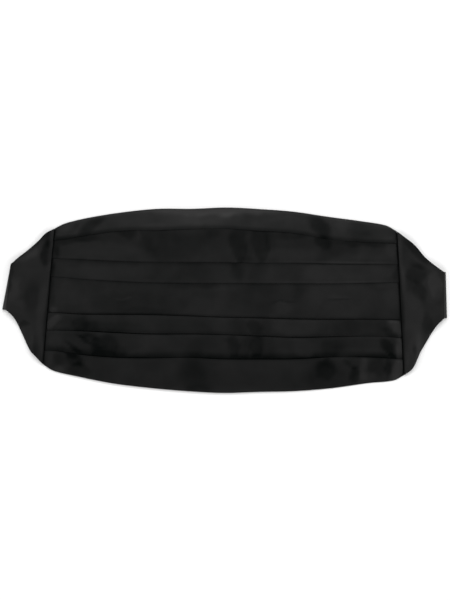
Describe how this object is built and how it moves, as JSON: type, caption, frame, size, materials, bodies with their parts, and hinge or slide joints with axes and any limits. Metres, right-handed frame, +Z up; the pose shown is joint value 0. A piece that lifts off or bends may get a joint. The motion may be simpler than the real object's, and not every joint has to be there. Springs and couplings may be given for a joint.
{
  "type": "cummerbund",
  "caption": "Black satin cummerbund lying flat: pleated front, tapering end panels, and elastic straps folded behind it through a flat clasp.",
  "frame": {"origin": "on the surface it lies on, under the middle of its bounding box", "axes": "+X along the waist, +Y towards the worn top edge, +Z up through the worn front"},
  "size_m": [0.3364, 0.1398, 0.0078],
  "materials": {
    "pleated_satin": "black satin, soft sheen, fine weave",
    "end_satin": "black satin, soft sheen, fine weave",
    "elastic_webbing": "black ribbed elastic webbing, matt",
    "clasp_coating": "black enamelled metal, semi-gloss"
  },
  "bodies": {
    "root": {"pleated_panel": "pleated_satin", "end_panel_left": "end_satin", "end_panel_right": "end_satin", "strap_left": "elastic_webbing", "strap_right": "elastic_webbing", "clasp": "clasp_coating"}
  },
  "joints": []
}
